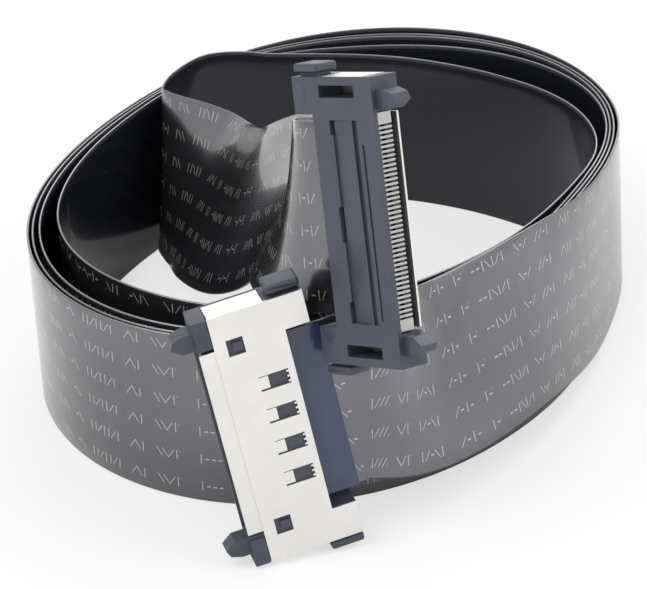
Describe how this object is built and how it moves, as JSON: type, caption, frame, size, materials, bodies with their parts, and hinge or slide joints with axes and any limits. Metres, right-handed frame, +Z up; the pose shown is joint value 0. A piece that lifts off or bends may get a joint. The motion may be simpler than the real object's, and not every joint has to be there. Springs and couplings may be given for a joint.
{
  "type": "flat flex cable",
  "caption": "Coiled black flat flex cable standing on its edge, with a shielded fine-pitch latching plug on each end.",
  "frame": {"origin": "centre of the overall box on the plan, at the floor the coil and the front plug stand on", "axes": "+Z up, coil axis along Z; -Y is the side the front plug stands on; +X to the right of that view"},
  "size_m": [0.0726, 0.0996, 0.0574],
  "materials": {
    "cable_film": "glossy black laminate",
    "black_plastic": "satin moulded black",
    "tin_plate": "bright satin plating",
    "contact_metal": "satin plated",
    "blue_film": "glossy dark blue film"
  },
  "bodies": {
    "root": {"flat_cable": "cable_film", "front_housing": "black_plastic", "front_shell": "tin_plate", "front_contacts": "contact_metal", "front_ground_contacts": "contact_metal", "front_stiffener": "blue_film", "top_housing": "black_plastic", "top_shell": "tin_plate", "top_contacts": "contact_metal", "top_ground_contacts": "contact_metal", "top_stiffener": "blue_film"}
  },
  "joints": []
}
